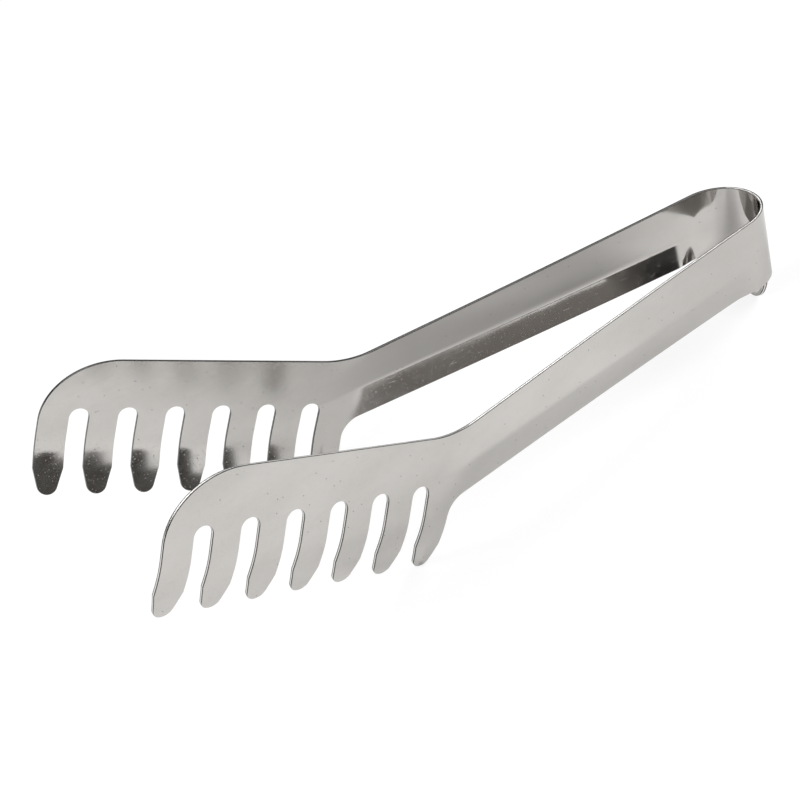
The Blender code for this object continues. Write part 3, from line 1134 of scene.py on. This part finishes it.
        # Painted shade: the inner face above the ridge and the outer face near the bow are darkened,
        # standing for the darker table that they mirror.
        above_ridge = between(rise + (self.ridge_depth - run * self.ridge_climb), *self.ridge_edge)
        held = between(run, *self.grip_start) * (1.0 - between(run, *self.grip_end))
        grip = held * above_ridge * inner * self.grip
        palm = (1.0 - between(run, *self.palm_end)) * (1.0 - inner) * self.palm
        tone = graph.mixed(total("dull").held(), self.colour, self.worn)
        tone = graph.mixed(grip + palm, tone, self.handled)
        tone = graph.mixed(pits, tone, self.pit)
        # Painted light on the flat of the cut edges: a highlight on the bow and the left arm, shade on the
        # right arm.
        tone = graph.mixed(between(cut, *self.painted_edge_span), tone, self.sheared)
        # Painted dark reflection lines along both corners of the cut edges.
        fade_in, fade_out = self.edge_line_fades
        painted_edge_line = (cut * fade_in).at_most((1.0 - cut) * fade_out).at_most(self.edge_line_depth)
        tone = graph.mixed(painted_edge_line, tone, self.corner)

        head = between(run, *self.head_start)
        claws = head * between(below, *self.claw_start)
        on_strip, on_claws = self.speck_roughness
        rough = total("rough") + self.gloss
        rough = rough + (head - claws) * self.head_roughness + claws * self.claw_roughness
        rough = rough + self.specks.build(graph, place) * (claws * (on_claws - on_strip) + on_strip)
        rough = rough * (1.0 - cut) + cut * self.cut_roughness

        relief = graph.first("ShaderNodeBump", {"Strength": 1.0, "Distance": MM, "Height": total("height")})
        sockets = {"Base Color": tone, "Metallic": 1.0, "Roughness": rough, "Normal": relief}
        shader = graph.first("ShaderNodeBsdfPrincipled", sockets)
        graph.add("ShaderNodeOutputMaterial", {"Surface": shader})
        return material


@dataclass(frozen=True)
class Tongs:
    """The whole pair of tongs, in three pieces that meet at two seams of the bow.

    Attributes:
        blanks, sheet: sizes of the flat blanks and of the forming.
        fineness: how finely the blanks are divided.
        blend_reach: a length past an arm's hinge; not used.
        far_edge_shade: colour of the painted shade on the right arm's cut edge, darker than the others.
    """

    blanks: BlankSizes = BlankSizes()
    sheet: SheetSizes = SheetSizes()
    fineness: Fineness = Fineness()
    blend_reach: float = 14.0 * MM
    # Painted shade on the right arm's cut edge.
    far_edge_shade: Colour = (0.09, 0.087, 0.083, 1.0)

    def standing(self) -> tuple[float, Vector, Vector]:
        """Tilt and place of the strip, from the left arm's joint in the frame.

        Returns:
            The turn about Y, the place of the crown's top edge, and the hinge point.
        """
        joint = next(item for item in frame["joints"] if item["name"] == "left_arm_flex")
        axis = Vector(joint["axis"])
        tilt = math.atan2(-axis.x, -axis.z)
        hinge = Vector(joint["pos_m"])
        turn = math.pi / 4
        radius = self.sheet.bow_radius
        local = Vector((radius * (1 - math.cos(turn)), radius * math.sin(turn), -self.sheet.bow_width / 2))
        return tilt, hinge - Matrix.Rotation(tilt, 3, "Y") @ local, hinge

    def build(self) -> list[bpy.types.Object]:
        """Make, dress and seat the three pieces.

        Returns:
            The pieces.
        """
        tilt, place, hinge = self.standing()
        stand = (tilt, place)
        forming = SheetForming(self.sheet)
        bow_blank = BowBlank(self.blanks, self.sheet, self.fineness).mesh("bow_blank")
        arm_blank = ArmBlank(self.blanks, self.sheet, self.fineness).mesh("arm_blank")
        steel = Steel("bow_steel_finish").material()
        bow = forming.form("bow_with_foot", bow_blank, Side.LEFT, stand, steel)
        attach(bow, "bow")
        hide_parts("spring_bow")
        pieces = [bow]
        # The right arm's cut edge gets painted shade, and the bow's and the left arm's get a painted
        # highlight.
        for side, body, cut in (
            (Side.LEFT, "left_arm", Steel.sheared),
            (Side.RIGHT, "right_arm", self.far_edge_shade),
        ):
            steel = Steel(body + "_steel_finish", side, sheared=cut).material()
            arm = forming.form(body + "_sheet", arm_blank, side, stand, steel)
            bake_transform(arm)
            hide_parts(body)
            pieces.append(arm)
        for piece in pieces:
            LOG.info("%s: %d faces", piece.name, len(piece.data.polygons))
        return pieces


def aimed(azimuth: float, elevation: float) -> Matrix:
    """Turn of a lamp or a camera that looks down at the tongs."""
    return Matrix.Rotation(azimuth, 4, "Z") @ Matrix.Rotation(math.pi / 2 - elevation, 4, "X")


@dataclass(frozen=True)
class Softbox:
    """A large soft lamp that looks at the tongs.

    Attributes:
        azimuth, elevation: angles at which it hangs, counter-clockwise from +X and above the table.
        power: power in watts.
        width, height, distance: its size, and its distance from the tongs.
    """

    name: str
    azimuth: float
    elevation: float
    power: float
    width: float = 1.1
    height: float = 0.45
    distance: float = 1.2

    def build(self) -> None:
        """Hang the lamp."""
        data = bpy.data.lights.new(self.name, "AREA")
        data.shape = "RECTANGLE"
        data.size = self.width
        data.size_y = self.height
        data.energy = self.power
        lamp = placed(self.name, data)
        turn = aimed(self.azimuth + math.pi / 2, self.elevation)
        lamp.matrix_world = turn @ Matrix.Translation((0.0, 0.0, self.distance))
        lamp.visible_glossy = False


@dataclass(frozen=True)
class Table:
    """The white table. Mirrored at a low angle it gives way to the room around it.

    Lengths are in metres for the table's size and in millimetres for the places on it.

    Attributes:
        size, paper: width, and colour of its paper.
        glow: strength at which the paper looks white.
        own_glow: share of the paper's look that is its glow near the tongs, and the rest is its light.
        glow_reach: distances between which the glow takes over.
        horizon, horizon_edge: angle below which a mirrored view misses the table, and its soft edge.
        front: how far the lit table reaches towards the camera.
        heads_edge: where the lit table before the heads begins, as 3 x + y.
        bow_half, bow_span: half width and run of the lit table inside the bow.
        beside: corner of the lit table beside the left arm.
        shade: how far the table inside the bow is darkened where the bow mirrors it twice.
        shade_half, shade_start, shade_end: soft half width, soft start and end of that shade.
        shade_colour: colour in that shade.
    """

    size: float = 12.0
    paper: Colour = grey(0.9)
    glow: float = 1.08
    own_glow: float = 0.75
    glow_reach: Span = (350.0, 900.0)
    horizon: float = math.radians(20.0)
    horizon_edge: Span = (0.99, 1.01)
    front: float = 200.0
    heads_edge: Span = (71.0, 77.0)
    bow_half: float = 11.0
    bow_span: Span = (-95.0, -35.0)
    beside: Point = (-80.0, 43.0)
    shade: float = 0.5
    shade_half: Span = (12.0, 18.0)
    shade_start: Span = (-85.0, -79.0)
    shade_end: float = -60.0
    shade_colour: Colour = grey(0.012)

    def lit(self, graph: Graph, x: Number, y: Number) -> Number:
        """1 where the table is seen in a mirror at any angle: by the heads, in the bow and beside it."""
        before = y < self.front
        by_heads = graph.between(x * 3.0 + y, *self.heads_edge) * before
        in_bow = (y.size() < self.bow_half) * (x < self.bow_span[1]) * (x > self.bow_span[0])
        beside = (y > self.beside[1]) * before * (x > self.beside[0])
        return by_heads.at_least(in_bow).at_least(beside)

    def material(self) -> bpy.types.Material:
        """Build the table's material."""
        material = bpy.data.materials.new("floor_white")
        material.use_nodes = True
        graph = Graph(material.node_tree)
        between = graph.between
        path = graph.add("ShaderNodeLightPath")
        facing = graph.number(graph.add("ShaderNodeLayerWeight", {"Blend": 0.5}), "Facing")
        x, y, _ = graph.split(graph.add("ShaderNodeTexCoord").outputs["Object"])
        x, y = x / MM, y / MM
        rim = (1.0 - self.lit(graph, x, y)) * math.sin(self.horizon)
        low = graph.number(path, "Is Glossy Ray") * between(facing + rim, *self.horizon_edge)
        inside = (1.0 - between(y.size(), *self.shade_half)) * between(x, *self.shade_start)
        twice = graph.number(path, "Glossy Depth") > 1.5
        shade = twice * inside * (x < self.shade_end) * self.shade
        colour = graph.mixed(shade, self.paper, self.shade_colour)
        far = between((x * x + y * y).root(), *self.glow_reach)
        bright = graph.number(path, "Is Camera Ray") * (self.own_glow + (1.0 - self.own_glow) * far)
        paper = graph.first("ShaderNodeBsdfDiffuse", {"Color": colour})
        glow = graph.first("ShaderNodeEmission", {"Color": grey(1.0), "Strength": self.glow})
        seen = graph.first("ShaderNodeMixShader", {0: bright, 1: paper, 2: glow})
        away = graph.first("ShaderNodeBsdfTransparent")
        both = graph.first("ShaderNodeMixShader", {0: low, 1: seen, 2: away})
        graph.add("ShaderNodeOutputMaterial", {"Surface": both})
        return material

    def build(self) -> None:
        """Lay the table."""
        mesh = bpy.data.meshes.new("floor")
        bm = bmesh.new()
        bmesh.ops.create_grid(bm, x_segments=1, y_segments=1, size=self.size / 2)
        bm.to_mesh(mesh)
        bm.free()
        floor = placed("floor", mesh)
        mesh.materials.append(self.material())
        floor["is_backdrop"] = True


@dataclass(frozen=True)
class Surroundings:
    """What the steel mirrors above the table: a sweep behind, and a dim room on the camera's side.

    Attributes:
        facing: the camera's side, as its azimuth.
        softness: how softly the sweep passes into the room.
        curtain, curtain_edge: azimuth at which a dark curtain begins, and its soft edge.
        curtain_span: lowest and highest place of the curtain, as half the sine plus one half.
        room, sweep: their tones by the angle above the horizon, in degrees.
        fill: the even light on everything that isn't mirrored.
    """

    facing: float
    softness: float = 0.2
    curtain: float = math.radians(108.5)
    curtain_edge: float = math.radians(1.5)
    curtain_span: Span = (0.334, 0.375)
    curtain_colour: Colour = grey(0.012)
    room: tuple[tuple[float, Colour], ...] = (
        (-20.0, grey(0.85)),
        (-19.6, grey(0.03)),
        (-18.9, grey(0.03)),
        (-18.6, (0.215, 0.2, 0.187, 1.0)),
        (-16.5, (0.2, 0.187, 0.176, 1.0)),
        (-10.0, (0.12, 0.115, 0.11, 1.0)),
        (0.0, grey(0.1)),
        (60.0, grey(0.1)),
        (90.0, grey(0.3)),
    )
    sweep: tuple[tuple[float, Colour], ...] = (
        (-20.0, grey(0.5)),
        (-8.0, grey(0.5)),
        (-4.0, grey(1.2)),
        (7.0, grey(1.2)),
        (11.0, grey(0.15)),
        (31.7, grey(0.15)),
        (32.5, grey(3.0)),
        (42.0, grey(3.0)),
        (45.0, grey(0.2)),
    )
    fill: Colour = grey(0.22)

    @staticmethod
    def tones(graph: Graph, height: Number, tones: Sequence[tuple[float, Colour]]) -> Socket:
        """A ramp of tones by the angle above the horizon."""
        stops = [(math.sin(math.radians(angle)) / 2 + 0.5, tone) for angle, tone in tones]
        return graph.first("ShaderNodeValToRGB", {"Fac": height}, stops=stops)

    def build(self) -> None:
        """Surround the tongs. The camera itself sees white."""
        world = bpy.data.worlds.new("studio")
        bpy.context.scene.world = world
        world.use_nodes = True
        graph = Graph(world.node_tree)
        x, y, z = graph.split(graph.add("ShaderNodeTexCoord").outputs["Generated"])
        height = z * 0.5 + 0.5
        turn = self.facing - math.pi / 2
        nearness = x * math.cos(turn) + y * math.sin(turn)
        before = (nearness / self.softness + 0.5).held()
        beyond = y * math.cos(self.curtain) - x * math.sin(self.curtain)
        drawn = graph.between(beyond, 0.0, self.curtain_edge)
        drawn = drawn * (height > self.curtain_span[0]) * (height < self.curtain_span[1])
        near = graph.mixed(drawn, self.tones(graph, height, self.room), self.curtain_colour)
        mirrored = graph.mixed(before, self.tones(graph, height, self.sweep), near)
        path = graph.add("ShaderNodeLightPath")
        light = graph.mixed(graph.number(path, "Is Glossy Ray"), self.fill, mirrored)
        light = graph.mixed(graph.number(path, "Is Camera Ray"), light, grey(1.0))
        background = graph.first("ShaderNodeBackground", {"Color": light, "Strength": 1.0})
        graph.add("ShaderNodeOutputWorld", {"Surface": background})


@dataclass(frozen=True)
class Studio:
    """Table, light and camera. The camera's place, angles, lens and shift are the photograph's."""

    camera_place: tuple[float, float, float] = (173.77 * MM, 336.30 * MM, 281.81 * MM)
    azimuth: float = math.radians(154.53)
    elevation: float = math.radians(33.78)
    roll: float = math.radians(14.76)
    lens: float = 80.7
    shift: Point = (-0.009, -0.0177)
    softboxes: tuple[Softbox, ...] = (
        Softbox("bow_end_softbox", math.radians(183.0), math.radians(27.0), 16.0),
        Softbox("head_end_softbox", math.radians(3.0), math.radians(40.0), 10.5),
    )
    table: Table = Table()

    def camera(self) -> None:
        """Place the camera at the photograph's viewing angle."""
        data = bpy.data.cameras.new("camera")
        data.lens = self.lens
        data.shift_x, data.shift_y = self.shift
        camera = placed("camera", data)
        turn = aimed(self.azimuth, self.elevation) @ Matrix.Rotation(-self.roll, 4, "Z")
        camera.matrix_world = Matrix.Translation(self.camera_place) @ turn
        bpy.context.scene.camera = camera

    def build(self) -> None:
        """Set up the whole studio."""
        self.camera()
        self.table.build()
        Surroundings(self.azimuth).build()
        for softbox in self.softboxes:
            softbox.build()
        bpy.context.scene.view_settings.view_transform = "Standard"


def corners(box: tuple[Vector, Vector]) -> list[list[float]]:
    """A box as plain lists of numbers."""
    return [list(corner) for corner in box]


def main() -> None:
    """Build the tongs and the studio, and work out the sizes of both models."""
    logging.basicConfig(level=logging.INFO, format="%(name)s: %(message)s")
    cad_box = corners(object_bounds())
    Tongs().build()
    Studio().build()
    {"cad": cad_box, "visual": corners(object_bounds())}


if __name__ == "__main__":
    main()
